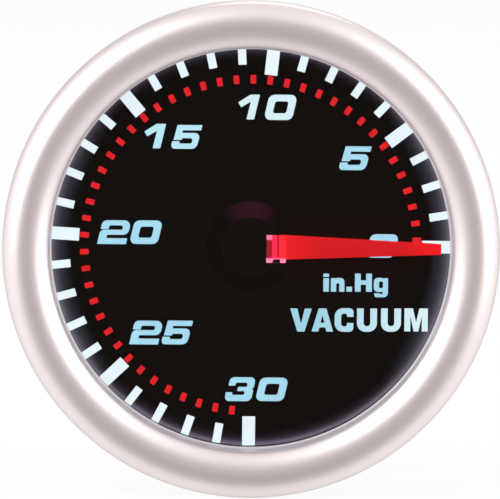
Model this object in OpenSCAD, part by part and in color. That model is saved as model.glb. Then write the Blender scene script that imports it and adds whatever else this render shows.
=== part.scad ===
// Panel-mounted vacuum gauge with a geared Bourdon-tube movement.
// Every piece is drawn in face coordinates: x to the right, y up and z towards the viewer,
// with zero on the gauge's axis where the bezel meets the panel. One turn then stands it upright.

/* [Bezel and lens] */
// Outer diameter of the bezel
bezel_d = 60; // [60:0.5:70]
// Width of the bezel beyond the case, which passes through the panel
bezel_overhang = 4; // [3.2:0.1:4]
// Distance from the bezel's side to its crest, its highest line
crest_inset = 2.8; // [2:0.1:3.5]
// Width of the lip over the lens
lip_w = 0.95; // [0.6:0.05:1.8]
// Height of the crest over the panel
crest_h = 6; // [4:0.25:8]
// Height of the bezel's upright side
side_h = 2.6; // [1.5:0.1:3.4]
// Thickness of the lip's edge
lip_t = 0.6; // [0.4:0.1:1]
// Height of the lip's underside over the panel
lip_under_h = 0.3; // [0.1:0.1:0.6]
// Thickness of the smoked lens
lens_t = 1.2; // [1:0.1:1.3]
// Thickness of the gasket under the lens
gasket_t = 0.4; // [0.3:0.1:0.6]
// Width of the gasket and of the lens's seat
gasket_w = 0.9; // [0.6:0.1:1.2]
// Height of the spacer ring between the gasket and the dial
spacer_h = 2.75; // [2.7:0.05:3.2]

/* [Dial] */
// Thickness of the black dial plate
dial_t = 0.6; // [0.4:0.1:0.8]
// Thickness of the translucent rings behind the dial
inlay_t = 0.6; // [0.4:0.1:0.8]
// Diameter of the pointer's hole in the dial
dial_hole_d = 4.8; // [4:0.2:6]
// Number of scale ticks
tick_count = 30; // [16:1:34]
// How far the ticks run under the bezel's lip
tick_under_lip = 0.2; // [0:0.1:0.4]
// Length of a long tick
long_tick_l = 3.5; // [2.8:0.1:4]
// Length of a short tick
short_tick_l = 2.35; // [1.5:0.05:2.8]
// Width of a long tick
long_tick_w = 1.5; // [1:0.1:1.8]
// Width of a short tick
short_tick_w = 0.93; // [0.6:0.01:1.2]
// Distance from the long ticks' inner ends to the circle of red dots
dot_gap = 0.65; // [0.65:0.05:1.5]
// Length of a red dot along the radius
dot_l = 1; // [0.6:0.1:1]
// Width of a red dot
dot_w = 0.62; // [0.4:0.02:1]
// Number of red dots
dot_count = 46; // [20:1:50]
// Clearance round each window's inlay
inlay_gap = 0.03; // [0.02:0.01:0.05]

/* [Pointer] */
// Gap between the pointer's tip and the bezel's lip
pointer_gap = 1.05; // [0.6:0.05:4]
// Width of the pointer at its root
pointer_root_w = 2.9; // [2:0.1:3.2]
// Width of the pointer at its tip
pointer_tip_w = 1; // [0.6:0.1:1.6]
// Thickness of the clear arm
pointer_t = 0.9; // [0.6:0.05:1]
// Diameter of the hub cap at its foot
cap_d = 10.8; // [9:0.2:12]
// Diameter of the hub cap's flat top
cap_top_d = 7.2; // [5:0.2:7.6]
// Distance from the axis to the start of the cap's slot
cap_slot_start = 1.9; // [1.6:0.1:2.4]
// How far above the zero tick the pointer rests, in degrees
rest_lift = 0.6; // [0:0.1:1]
// Full sweep of the pointer, in degrees
sweep = 270; // [240:5:270]

/* [Case] */
// Depth of the case behind the panel
case_depth = 34; // [33.5:0.5:40]
// Wall of the case
case_wall = 0.8; // [0.6:0.1:1]
// Rounding of the case's rear corner
case_corner_r = 1.5; // [1.2:0.1:3]
// Width of the case's front flange
flange_w = 2.25; // [1.5:0.05:2.5]

/* [Movement] */
// Gear module
gear_m = 0.25; // [0.22:0.01:0.25]
// Teeth on the pinion
pinion_teeth = 12; // [12:1:14]
// Teeth that the sector would have on a full circle
sector_full_teeth = 84; // [78:1:84]
// Teeth cut on the sector
sector_teeth = 13; // [13:2:15]
// Distance from the sector's pivot to the link's pivot
tail_r = 5; // [4.8:0.1:5.2]
// Distance between the link's two pivots
link_l = 6.5; // [6.2:0.1:6.8]
// Width of the Bourdon tube along the gauge's axis
tube_w = 6; // [5:0.1:6.4]
// Thickness of the Bourdon tube across its flat sides
tube_t = 1.6; // [1.3:0.1:1.6]
// Wall of the Bourdon tube
tube_wall = 0.25; // [0.2:0.05:0.35]
// Thickness of the movement's two plates
plate_t = 1; // [0.8:0.1:1.2]
// Space between the two plates
plate_space = 5.5; // [5.4:0.1:5.8]
// Turns of the hairspring
hairspring_turns = 4; // [3:1:4]

/* [Back] */
// Diameter of the socket's threaded shank
shank_d = 8; // [7.6:0.2:8.4]
// Width across the flats of the socket nut
socket_nut_w = 12; // [11.5:0.5:12]
// Diameter over the hose nipple's barbs
barb_d = 5.5; // [5.2:0.1:6]
// Number of barbs
barb_count = 4; // [3:1:5]
// Diameter of the clamp studs
stud_d = 4; // [3.6:0.1:4.2]
// Gap between a stud's head and the reflector cup
stud_inset = 3.4; // [1:0.1:3.6]
// Reach of the studs behind the case
stud_l = 21; // [20:0.5:24]
// Thickness of the clamp bracket's sheet
bracket_t = 1.6; // [1.2:0.1:2]
// Width of the clamp bracket's strap
bracket_w = 14; // [12:0.5:16]
// Distance from the panel face to the bracket's feet
feet_z = 6; // [6:0.1:6.4]
// Diameter of the thumb nuts
thumb_nut_d = 10.4; // [9:0.2:11]
// Height of the thumb nuts
thumb_nut_h = 6; // [5:0.5:7]
// Diameter of the lamp holder's barrel
lamp_d = 9.4; // [8.8:0.2:9.6]

/* [Hidden] */

$fn = 96;

// Clearances
seat_gap = 0.05;
pivot_gap = 0.03;
press_gap = 0.01;
thread_gap = 0.05;
cut_over = 0.5;

// Bezel and the stack under it, each height counted from the panel's front face
bezel_r = bezel_d / 2;
crest_r = bezel_r - crest_inset;
lip_top_z = lip_under_h + lip_t;
case_r = bezel_r - bezel_overhang;
case_in_r = case_r - case_wall;
flange_r = case_r + flange_w;
insert_gap = 0.15;
insert_r = case_in_r - insert_gap;
opening_r = insert_r - lip_w;
bezel_groove_top_z = case_wall + seat_gap;
lens_z = lip_under_h - seat_gap - lens_t;
gasket_z = lens_z - seat_gap - gasket_t;
spacer_z = gasket_z - seat_gap - spacer_h;
spacer_w = 0.75;
dial_z = spacer_z - seat_gap - dial_t;
dial_front_z = dial_z + dial_t;
inlay_z = dial_z - seat_gap - inlay_t;
guide_t = 1.5;
guide_z = inlay_z - seat_gap - guide_t;
reflector_t = 1;
reflector_z = guide_z - seat_gap - reflector_t;
reflector_wall = 0.95;
cup_in_r = insert_r - reflector_wall;
centre_hole_r = dial_hole_d / 2;
case_back_z = -case_depth;
case_floor_z = case_back_z + case_wall;

// Scale: a long tick where a printed number stands, and a red dot chain on a finer pitch
tick_pitch = 270 / (tick_count - 1);
long_ticks = [0, 4, 9, 14, 19, 24, 29];
tick_end_r = opening_r + tick_under_lip;
long_tick_r = tick_end_r - long_tick_l;
short_tick_r = tick_end_r - short_tick_l;
dots_per_step = 8;
ticks_per_step = 5;
dot_pitch = tick_pitch * ticks_per_step / dots_per_step;
first_dot_angle = 4 * tick_pitch - 6 * dot_pitch;
dot_r = long_tick_r - dot_gap;
dot_ring_w = 1.2;
tick_ring_in_r = dot_r + dot_l / 2 + 0.15 * dot_l;
dot_ring_out_r = tick_ring_in_r - seat_gap;

// Pointer, whose clear root has two cross ribs in the cap's slot
cap_slot_gap = 0.05;
pointer_l = opening_r - pointer_gap;
pointer_hub_r = 3.2;
pointer_hub_t = 1.1;
pointer_clear = 0.4;
pointer_hub_z = dial_front_z + pointer_clear;
pointer_arm_z = pointer_hub_z + pointer_hub_t;
foil_t = 0.08;
foil_start = 4.3;
pointer_wide_end = 4.4;
rib_w = 0.65;
rib_h = 0.25;
rib_reach_up = 1.25;
rib_reach_down = 1.85;
rib_starts = [cap_slot_start + cap_slot_gap, foil_start - cap_slot_gap - rib_w];
foil_z = pointer_arm_z + pointer_t;
cap_top_under_lens = 0.3;
cap_z = pointer_hub_z + seat_gap;
cap_top_z = lens_z - cap_top_under_lens;
bush_r = 1.2;
bush_h = 1.4;
arbor_r = 0.5;
arbor_shoulder_r = 0.75;

// Movement: the pinion turns on the gauge's axis and the sector stands to its right
pinion_pitch_r = gear_m * pinion_teeth / 2;
sector_pitch_r = gear_m * sector_full_teeth / 2;
sector_x = pinion_pitch_r + sector_pitch_r;
gear_ratio = sector_full_teeth / pinion_teeth;
sector_tooth_pitch = 360 / sector_full_teeth;
pinion_tooth_pitch = 360 / pinion_teeth;
half_swing = sweep / gear_ratio / 2;
pressure_angle = 20;
gear_backlash = 0.04;
pinion_addendum_share = 1;
pinion_dedendum_share = 1;
sector_addendum_share = 0.7;
sector_dedendum_share = 1.25;
flank_steps = 5;
movement_gap = 1.05;
front_plate_z = reflector_z - movement_gap - plate_t;
back_plate_z = front_plate_z - plate_space - plate_t;
plates_inside_z = back_plate_z + plate_t;
plate_left = 7;
plate_right = 14.5;
plate_half_h = 10.3;
pillar_r = 1.3;
pillar_left_x = -5;
pillar_left_y = 7.5;
pillar_right_x = sector_x + 0.5;
pillar_right_y = 8.6;
pillar_reach = norm([pillar_right_x, pillar_right_y]) + pillar_r;
pillar_places = [
    [pillar_left_x, pillar_left_y],
    [pillar_left_x, -pillar_left_y],
    [pillar_right_x, pillar_right_y],
    [pillar_right_x, -pillar_right_y]
];
small_screw_r = 0.7;
small_head_r = 1.2;
small_head_h = 0.55;
screw_slot_w = 0.3;
screw_slot_depth = 0.25;
movement_screw_x = -4.4;
movement_screw_y = 2.6;
pinion_h = 2.8;
pinion_z = plates_inside_z + 0.5 * gear_m + seat_gap;
sector_t = 0.9;
sector_z = plates_inside_z + 1.3;
sector_hub_r = 1.8;
sector_hub_rise = 1;
sector_hub_drop = 0.9;
rim_w = 1.3;
web_gap = 1.6;
window_margin = 9;
tail_end_r = 1.2;
tail_w = 2;
pin_r = 0.5;
pin_head_r = 0.85;
pin_head_h = 0.35;
link_t = 0.6;
link_lift = 0.2;
link_end_r = 1.15;
link_w = 1.4;
link_z = sector_z + sector_t + link_lift;
open_pivot_gap = 0.2;
sector_arbor_r = 0.6;
sector_arbor_shoulder_r = 1;
arbor_reach = 0.45;
stop_r = 0.5;
stop_ring_r = 9.4;
stop_clear = 0.3;
sector_edge = (sector_teeth / 2 + 0.15) * sector_tooth_pitch;
stop_angle = half_swing + sector_edge + (stop_r + stop_clear) / stop_ring_r * 180 / PI;

// Where the link's pivots stand while the pointer rests, and how far the tube's end travels
tail_x = sector_x + tail_r * cos(half_swing);
tail_y = tail_r * sin(half_swing);
tip_travel = 2 * tail_y;
tip_y = tail_y - link_l;
open_pivot_x = tail_r * (1 - cos(half_swing)) / 2;

// Hairspring, wound from the collet out to its stud
hairspring_t = 0.14;
hairspring_h = 0.6;
collet_r = 1.35;
collet_h = 1;
hairspring_start_r = collet_r + seat_gap + hairspring_t / 2;
hairspring_pitch = 0.78;
hairspring_end_r = hairspring_start_r + hairspring_pitch * hairspring_turns;
hairspring_z = front_plate_z - 1.7;
collet_z = hairspring_z - 0.2;
hairspring_steps = 24;
stud_pin_r = 0.4;
stud_pin_place = hairspring_end_r + hairspring_t / 2 + press_gap + stud_pin_r;
hairspring_end_angle = -90;
echo(hairspring_least_gap = hairspring_pitch - hairspring_t);

// Bourdon tube and its end pieces
tube_place_share = 0.4;
tube_r = pillar_reach + tube_place_share * (cup_in_r - pillar_reach);
tube_mid_z = sector_z + sector_t / 2;
tube_fixed_angle = 240;
tube_free_angle = -9.5;
post_angle = 15;
post_w = 5;
post_h_over = 0.6;
socket_depth_angle = 4;
tip_w = 3.1;
tip_h = 4.4;
tip_rise = 0.9;
tip_side = 0.5;
tip_x = tube_r + tube_t / 2 + tip_side - tip_w;
tip_top_y = tube_r * sin(tube_free_angle) + tip_rise;
tip_lug_r = 1.1;
tip_over = 0.35;
tip_notch_w = 0.95;
tip_notch_clear = 0.35;

// Socket block
block_w = 14;
block_h = 5;
block_z = case_floor_z + seat_gap;
arm_w = 6;
pedestal_x = -7;
pedestal_w = 10;
pedestal_h = 14;
pedestal_top_z = back_plate_z - seat_gap;
relief_r = 1.6;
relief_depth = 1.2;
shank_r = shank_d / 2;
shank_l = 4.6;
bore_r = 1.1;
shank_bore_r = 2.6;
shank_bore_depth = 5;
washer_t = 0.8;
washer_r = 6.8;
nut_h = 3;

// Hose nipple
barb_r = barb_d / 2;
barb_root_r = barb_r - 0.45;
barb_land = 0.8;
barb_slope_l = 2.4;
barb_pitch = barb_land + barb_slope_l;
nipple_hex_w = 10;
nipple_hex_h = 3.6;
nipple_neck_l = 1.6;
nipple_thread_l = 4;
nipple_hex_z = case_back_z - shank_l - seat_gap - nipple_hex_h;
nipple_neck_z = nipple_hex_z - nipple_neck_l;
nipple_end_z = nipple_neck_z - barb_count * barb_pitch;

// Studs, bracket and thumb nuts
stud_r = stud_d / 2;
stud_head_r = 3.2;
stud_head_t = 0.8;
stud_x = cup_in_r - stud_head_r - stud_inset;
bracket_leg_gap = 1.2;
bracket_leg_x = case_r + bracket_leg_gap + bracket_t;
bracket_bend_r = 3;
bracket_back_gap = 5.2;
bracket_web_z = case_back_z - bracket_back_gap - bracket_t;
bracket_hole_r = 7.4;
bracket_ring_r = 9.6;
bracket_slot_r = stud_r + 0.35;
foot_corner_r = 2.5;
lock_washer_t = 0.8;
lock_washer_r = 3.6;
lock_washer_split_w = 0.5;
lock_washer_z = bracket_web_z - seat_gap - lock_washer_t;
thumb_nut_r = thumb_nut_d / 2;
thumb_nut_z = lock_washer_z - seat_gap - thumb_nut_h;
thumb_collar_r = 3.7;
thumb_collar_h = 1.4;
flute_count = 24;
flute_r = 0.45;

// Lamp
lamp_r = lamp_d / 2;
lamp_hole_gap = 0.1;
lamp_lug_reach = 1.3;
lamp_lug_t = 0.9;
lamp_lug_w = 3.4;
lamp_place_share = 0.59;
lamp_y = washer_r + lamp_place_share * (cup_in_r - washer_r);
lamp_turn = 60;
lamp_flange_r = 6.3;
lamp_flange_t = 1.2;
lamp_grip_w = 2.6;
lamp_grip_h = 4.5;
lamp_inside_l = 4.5;
bulb_r = 2.5;
bulb_l = 9;
bulb_foot_z = case_floor_z + lamp_inside_l - 2.2;
bulb_socket_gap = 0.1;
terminal_w = 3;
terminal_t = 0.6;
terminal_l = 6.5;
terminal_x = 2.9;
terminal_in = 2;

// Turns face coordinates into the part's own frame: the face looks along -Y and +Z is up
module upright() {
    rotate([90, 0, 0]) children();
}

// A cylinder from z upwards, and the same with a hole
module disc(r, h, z) {
    translate([0, 0, z]) cylinder(r = r, h = h);
}

module ring(outer_r, inner_r, h, z) {
    difference() {
        disc(outer_r, h, z);
        disc(inner_r, h + 2 * cut_over, z - cut_over);
    }
}

// A hexagon standing on its flats' width
module hexagon(width, h, z) {
    translate([0, 0, z]) cylinder(d = width / cos(30), h = h, $fn = 6);
}

// Points of an elliptical quarter round from one angle to another
function quarter(cx, cy, rx, ry, from, to, steps) = [
    for (i = [0:steps])
        let (a = from + (to - from) * i / steps)
        [cx + rx * cos(a), cy + ry * sin(a)]
];

// Bezel
module bezel() {
    groove_r = flange_r + seat_gap;
    steps = 14;
    outline = concat(
        [[opening_r, lip_under_h], [insert_r, lip_under_h], [insert_r, bezel_groove_top_z]],
        [[groove_r, bezel_groove_top_z], [groove_r, 0], [bezel_r, 0]],
        quarter(crest_r, side_h, bezel_r - crest_r, crest_h - side_h, 0, 90, steps),
        quarter(crest_r, lip_top_z, crest_r - opening_r, crest_h - lip_top_z,
            90 + 90 / steps, 180, steps - 1)
    );
    color("silver") upright() rotate_extrude() polygon(outline);
}

// Smoked lens
module lens() {
    color("dimgray", 0.4) upright() disc(insert_r, lens_t, lens_z);
}

// Black rubber ring under the lens
module lens_gasket() {
    color("black") upright() ring(insert_r, insert_r - gasket_w, gasket_t, gasket_z);
}

// Ring that sets the dial's depth
module dial_spacer() {
    color("black") upright() ring(insert_r, insert_r - spacer_w, spacer_h, spacer_z);
}

// One bar on the dial, from an inner to an outer radius, at an angle
module dial_bar(angle, inner_r, outer_r, width, h, z) {
    rotate([0, 0, angle])
        translate([inner_r, -width / 2, z]) cube([outer_r - inner_r, width, h]);
}

function is_long(i) = len(search(i, long_ticks)) > 0;

module tick_bars(grow, h, z) {
    for (i = [0:tick_count - 1]) {
        inner = is_long(i) ? long_tick_r : short_tick_r;
        width = is_long(i) ? long_tick_w : short_tick_w;
        dial_bar(i * tick_pitch, inner - grow, tick_end_r + grow, width + 2 * grow, h, z);
    }
}

module dot_bars(grow, h, z) {
    for (i = [0:dot_count - 1]) {
        half = dot_l / 2 + grow;
        dial_bar(first_dot_angle + i * dot_pitch, dot_r - half, dot_r + half,
            dot_w + 2 * grow, h, z);
    }
}

// Black dial with a window for each tick and each dot
module dial_plate() {
    color("black") upright() difference() {
        disc(insert_r, dial_t, dial_z);
        disc(centre_hole_r, dial_t + 2 * cut_over, dial_z - cut_over);
        tick_bars(inlay_gap, dial_t + 2 * cut_over, dial_z - cut_over);
        dot_bars(inlay_gap, dial_t + 2 * cut_over, dial_z - cut_over);
    }
}

// White translucent ring whose bars fill the tick windows
module tick_inlay() {
    color("white") upright() {
        ring(insert_r, tick_ring_in_r, inlay_t, inlay_z);
        tick_bars(0, dial_front_z - inlay_z - inlay_t / 2, inlay_z + inlay_t / 2);
    }
}

// Red translucent ring whose bars fill the dot windows
module dot_inlay() {
    color("red") upright() {
        ring(dot_ring_out_r, dot_r - dot_ring_w, inlay_t, inlay_z);
        dot_bars(0, dial_front_z - inlay_z - inlay_t / 2, inlay_z + inlay_t / 2);
    }
}

// Clear disc that spreads the lamp's light behind the dial
module light_guide() {
    color("lightcyan", 0.5) upright() ring(insert_r, centre_hole_r, guide_t, guide_z);
}

// White cup that carries the dial stack and stands where the case's rear corner starts to round
module reflector() {
    skirt_z = case_back_z + case_corner_r + seat_gap;
    color("whitesmoke") upright() {
        difference() {
            disc(insert_r, reflector_t, reflector_z);
            disc(centre_hole_r, reflector_t + 2 * cut_over, reflector_z - cut_over);
            translate([0, lamp_y - bulb_r / 2, 0])
                disc(bulb_r + reflector_t, reflector_t + 2 * cut_over, reflector_z - cut_over);
        }
        ring(insert_r, insert_r - reflector_wall, reflector_z + reflector_t - skirt_z, skirt_z);
    }
}

// Outline of a drawn cup with rounded rear corners, as a half section
module cup_section(r, depth, corner) {
    square([r - corner, depth]);
    translate([0, corner]) square([r, depth - corner]);
    translate([r - corner, corner]) circle(corner);
}

// Steel case with its flange and the holes in its back
module case() {
    in_corner = case_corner_r - case_wall;
    color("gainsboro") upright() {
        difference() {
            translate([0, 0, case_back_z]) rotate_extrude() difference() {
                cup_section(case_r, case_depth + case_wall, case_corner_r);
                translate([0, case_wall])
                    cup_section(case_in_r, case_depth + cut_over, in_corner);
            }
            disc(shank_r + seat_gap, 2 * cut_over + case_wall, case_back_z - cut_over);
            for (side = [-1, 1])
                translate([side * stud_x, 0, 0])
                    disc(stud_r + seat_gap, 2 * cut_over + case_wall, case_back_z - cut_over);
            translate([0, lamp_y, 0])
                lamp_opening(2 * cut_over + case_wall, case_back_z - cut_over);
        }
        ring(flange_r, case_in_r, case_wall, 0);
    }
}

// Round hole with two notches that the lamp holder's lugs pass when it is turned
module lamp_opening(h, z) {
    reach = lamp_r + lamp_lug_reach + lamp_hole_gap;
    width = lamp_lug_w + 4 * lamp_hole_gap;
    disc(lamp_r + lamp_hole_gap, h, z);
    rotate([0, 0, lamp_turn]) translate([-reach, -width / 2, z]) cube([2 * reach, width, h]);
}

// Brass block: threaded shank out of the back, arm and post to the tube, pedestal for the plates
module socket_block() {
    post_top_z = tube_mid_z + tube_w / 2 + post_h_over;
    color("goldenrod") upright() difference() {
        union() {
            translate([-block_w / 2, -block_w / 2, block_z]) cube([block_w, block_w, block_h]);
            rotate([0, 0, tube_fixed_angle + post_angle / 2])
                translate([0, -arm_w / 2, block_z]) cube([tube_r, arm_w, block_h]);
            rotate([0, 0, tube_fixed_angle])
                rotate_extrude(angle = post_angle)
                translate([tube_r - post_w / 2, block_z]) square([post_w, post_top_z - block_z]);
            translate([pedestal_x, -pedestal_h / 2, block_z])
                cube([pedestal_w, pedestal_h, pedestal_top_z - block_z]);
            disc(shank_r, block_z - case_back_z + shank_l + seat_gap, case_back_z - shank_l);
        }
        disc(relief_r, relief_depth + cut_over, pedestal_top_z - relief_depth);
        disc(bore_r, block_z + block_h / 2 - case_back_z + shank_l, case_back_z - shank_l);
        disc(shank_bore_r, shank_bore_depth, case_back_z - shank_l - cut_over);
        for (side = [-1, 1])
            translate([movement_screw_x, side * movement_screw_y, 0])
                disc(small_screw_r + press_gap, block_h, pedestal_top_z - block_h + cut_over);
        rotate([0, 0, tube_fixed_angle - cut_over])
            rotate_extrude(angle = socket_depth_angle + cut_over)
            tube_section(tube_t + 2 * seat_gap, tube_w + 2 * seat_gap);
    }
}

// Flattened section of the Bourdon tube
module tube_section(thickness, width) {
    half_flat = (width - thickness) / 2;
    translate([tube_r - thickness / 2, tube_mid_z - half_flat])
        square([thickness, 2 * half_flat]);
    for (end = [-1, 1])
        translate([tube_r, tube_mid_z + end * half_flat]) circle(thickness / 2, $fn = 32);
}

// C-shaped tube that curls tighter as the vacuum grows
module bourdon_tube() {
    start = tube_free_angle;
    span = tube_fixed_angle + socket_depth_angle - seat_gap - start;
    color("darkgoldenrod") upright() rotate([0, 0, start]) rotate_extrude(angle = span) difference() {
        tube_section(tube_t, tube_w);
        tube_section(tube_t - 2 * tube_wall, tube_w - 2 * tube_wall);
    }
}

// Brass end of the tube with a lug for the link's pin and a notch for the link's end
module tube_tip() {
    wide = tube_w + 2 * tip_over;
    low_z = tube_mid_z - wide / 2;
    notch_top_y = tip_y + link_end_r + tip_notch_clear;
    color("goldenrod") upright() difference() {
        union() {
            translate([tip_x, tip_top_y - tip_h, low_z]) cube([tip_w, tip_h, wide]);
            translate([tail_x, tip_y, 0]) disc(tip_lug_r, sector_t, sector_z);
            translate([tail_x, tip_y - tip_lug_r, sector_z])
                cube([tip_x - tail_x + cut_over, 2 * tip_lug_r, sector_t]);
        }
        rotate([0, 0, tube_free_angle - seat_gap]) rotate_extrude(angle = post_angle)
            tube_section(tube_t + 2 * seat_gap, tube_w + 2 * seat_gap);
        translate([tail_x, tip_y, 0])
            disc(pin_r + press_gap, sector_t + 2 * cut_over, sector_z - cut_over);
        translate([tip_x - cut_over, tip_top_y - tip_h - cut_over, sector_z + sector_t])
            cube([tip_notch_w + cut_over, notch_top_y - tip_top_y + tip_h + cut_over, wide]);
    }
}

// A riveted pivot pin with a head at each end
module pivot_pin(low_z, high_z) {
    disc(pin_r, high_z - low_z, low_z);
    disc(pin_head_r, pin_head_h, low_z - pin_head_h);
    disc(pin_head_r, pin_head_h, high_z);
}

module tip_pin() {
    color("silver") upright() translate([tail_x, tip_y, 0])
        pivot_pin(sector_z - seat_gap, link_z + link_t + seat_gap);
}

module tail_pin() {
    color("silver") upright() translate([tail_x, tail_y, 0])
        pivot_pin(sector_z - seat_gap, link_z + link_t + seat_gap);
}

// Link between the sector's tail and the tube's end. The lower hole has play for the opened loop
module link() {
    color("goldenrod") upright() difference() {
        union() {
            translate([tail_x, tail_y, 0]) disc(link_end_r, link_t, link_z);
            translate([tail_x, tip_y, 0]) disc(link_end_r, link_t, link_z);
            translate([tail_x - link_w / 2, tip_y, link_z]) cube([link_w, link_l, link_t]);
        }
        translate([tail_x, tail_y, 0])
            disc(pin_r + pivot_gap, link_t + 2 * cut_over, link_z - cut_over);
        translate([tail_x - open_pivot_x, tip_y, 0])
            disc(pin_r + open_pivot_gap, link_t + 2 * cut_over, link_z - cut_over);
    }
}

// Involute flank: angle at the pitch point is zero, radius runs from the base circle out
function involute_turn(base_r, r) =
    let (t = sqrt(max(0, pow(r / base_r, 2) - 1)))
    (t * 180 / PI) - atan(t);

// Half tooth: points of one flank as [radius, angle from the tooth's middle]
function half_flank(pitch_r, teeth, root_r, tip_r) =
    let (
        base_r = pitch_r * cos(pressure_angle),
        half_tooth = 90 / teeth - gear_backlash / 4 / pitch_r * 180 / PI,
        at_pitch = involute_turn(base_r, pitch_r),
        low_r = max(base_r, root_r)
    )
    concat(
        root_r < low_r ? [[root_r, half_tooth + at_pitch - involute_turn(base_r, low_r)]] : [],
        [
            for (i = [0:flank_steps])
                let (r = low_r + (tip_r - low_r) * i / flank_steps)
                [r, half_tooth + at_pitch - involute_turn(base_r, r)]
        ]
    );

// Outline of a run of teeth, first to last, in order of angle
function teeth_outline(pitch_r, teeth, root_r, tip_r, first, last, phase) =
    let (flank = half_flank(pitch_r, teeth, root_r, tip_r), n = len(flank))
    [
        for (k = [first:last])
            for (j = [0:2 * n - 1])
                let (
                    up = j < n,
                    p = up ? flank[j] : flank[2 * n - 1 - j],
                    a = phase + k * 360 / teeth + (up ? -p[1] : p[1])
                )
                [p[0] * cos(a), p[0] * sin(a)]
    ];

// Pinion on the pointer's arbor
module pinion() {
    root_r = pinion_pitch_r - pinion_dedendum_share * gear_m;
    tip_r = pinion_pitch_r + pinion_addendum_share * gear_m;
    phase = pinion_tooth_pitch / 2 - sweep / 2;
    outline = teeth_outline(pinion_pitch_r, pinion_teeth, root_r, tip_r, 0, pinion_teeth - 1, phase);
    color("silver") upright() difference() {
        translate([0, 0, pinion_z]) linear_extrude(pinion_h) polygon(outline);
        disc(arbor_r + press_gap, pinion_h + 2 * cut_over, pinion_z - cut_over);
    }
}

// Toothed sector with its hub, its window and its tail
module sector_gear() {
    root_r = sector_pitch_r - sector_dedendum_share * gear_m;
    tip_r = sector_pitch_r + sector_addendum_share * gear_m;
    half_teeth = (sector_teeth - 1) / 2;
    rim_in_r = root_r - rim_w;
    teeth = teeth_outline(sector_pitch_r, sector_full_teeth, root_r, tip_r,
        -half_teeth, half_teeth, 180);
    rim_edge = [for (side = [1, -1]) [root_r * cos(180 + side * sector_edge),
        root_r * sin(180 + side * sector_edge)]];
    window_edge = sector_edge - window_margin;
    window_in_r = sector_hub_r + web_gap;
    color("goldenrod") upright() translate([sector_x, 0, 0]) rotate([0, 0, half_swing]) difference() {
        union() {
            translate([0, 0, sector_z]) linear_extrude(sector_t) {
                polygon(concat([[0, 0], rim_edge[1]], teeth, [rim_edge[0]]));
                translate([0, -tail_w / 2]) square([tail_r, tail_w]);
                translate([tail_r, 0]) circle(tail_end_r);
            }
            disc(sector_hub_r, sector_t + sector_hub_rise + sector_hub_drop,
                sector_z - sector_hub_drop);
        }
        rotate([0, 0, 180 - window_edge]) rotate_extrude(angle = 2 * window_edge)
            translate([window_in_r, sector_z - cut_over])
            square([rim_in_r - window_in_r, sector_t + 2 * cut_over]);
        disc(sector_arbor_r + press_gap, plate_space, plates_inside_z);
        translate([tail_r, 0, 0])
            disc(pin_r + press_gap, sector_t + 2 * cut_over, sector_z - cut_over);
    }
}

// An arbor with a pivot through each plate and a shoulder that keeps it between them
module arbor(pivot_r, shoulder_r, shoulder_z, shoulder_top_z, low_z, high_z) {
    disc(pivot_r, high_z - low_z, low_z);
    disc(shoulder_r, shoulder_top_z - shoulder_z, shoulder_z);
}

module sector_arbor() {
    shoulder_z = sector_z + sector_t + sector_hub_rise + seat_gap;
    color("silver") upright() translate([sector_x, 0, 0])
        arbor(sector_arbor_r, sector_arbor_shoulder_r, shoulder_z, front_plate_z - seat_gap,
            back_plate_z - arbor_reach / 2, front_plate_z + plate_t + arbor_reach);
}

module pinion_arbor() {
    shoulder_z = collet_z + collet_h + seat_gap;
    color("silver") upright()
        arbor(arbor_r, arbor_shoulder_r, shoulder_z, front_plate_z - seat_gap,
            back_plate_z - arbor_reach, pointer_hub_z + bush_h - seat_gap);
}

// Outline of a movement plate, rounded at its corners by the pillars' bosses
module plate_blank(z) {
    corner_r = pillar_r + 1.2 * plate_t;
    translate([0, 0, z]) linear_extrude(plate_t) {
        translate([-plate_left, -pillar_left_y]) square([plate_left + plate_right, 2 * pillar_left_y]);
        translate([pillar_left_x, -plate_half_h])
            square([pillar_right_x - pillar_left_x, 2 * plate_half_h]);
        for (place = pillar_places)
            translate([place[0], sign(place[1]) * (plate_half_h - corner_r)]) circle(corner_r);
    }
}

module plate_holes(z) {
    deep = plate_t + 2 * cut_over;
    disc(arbor_r + pivot_gap, deep, z - cut_over);
    translate([sector_x, 0, 0]) disc(sector_arbor_r + pivot_gap, deep, z - cut_over);
    for (place = pillar_places)
        translate([place[0], place[1], 0]) disc(small_screw_r + press_gap, deep, z - cut_over);
    for (side = [-1, 1])
        rotate_stop(side) disc(stop_r + press_gap, deep, z - cut_over);
}

// Place of a stop pin, above or below the sector's pivot
module rotate_stop(side) {
    translate([sector_x, 0, 0]) rotate([0, 0, 180 + side * stop_angle])
        translate([stop_ring_r, 0, 0]) children();
}

module back_plate() {
    color("goldenrod") upright() difference() {
        plate_blank(back_plate_z);
        plate_holes(back_plate_z);
        for (side = [-1, 1])
            translate([movement_screw_x, side * movement_screw_y, 0])
                disc(small_screw_r + press_gap, plate_t + 2 * cut_over, back_plate_z - cut_over);
    }
}

module front_plate() {
    color("goldenrod") upright() difference() {
        plate_blank(front_plate_z);
        plate_holes(front_plate_z);
        rotate([0, 0, hairspring_end_angle]) translate([stud_pin_place, 0, 0])
            disc(stud_pin_r + press_gap, plate_t + 2 * cut_over, front_plate_z - cut_over);
    }
}

// Four posts that hold the plates apart
module pillars() {
    color("goldenrod") upright() for (place = pillar_places)
        translate([place[0], place[1], 0]) difference() {
            disc(pillar_r, plate_space - 2 * seat_gap, plates_inside_z + seat_gap);
            disc(small_screw_r + press_gap, plate_space, plates_inside_z);
        }
}

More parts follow.
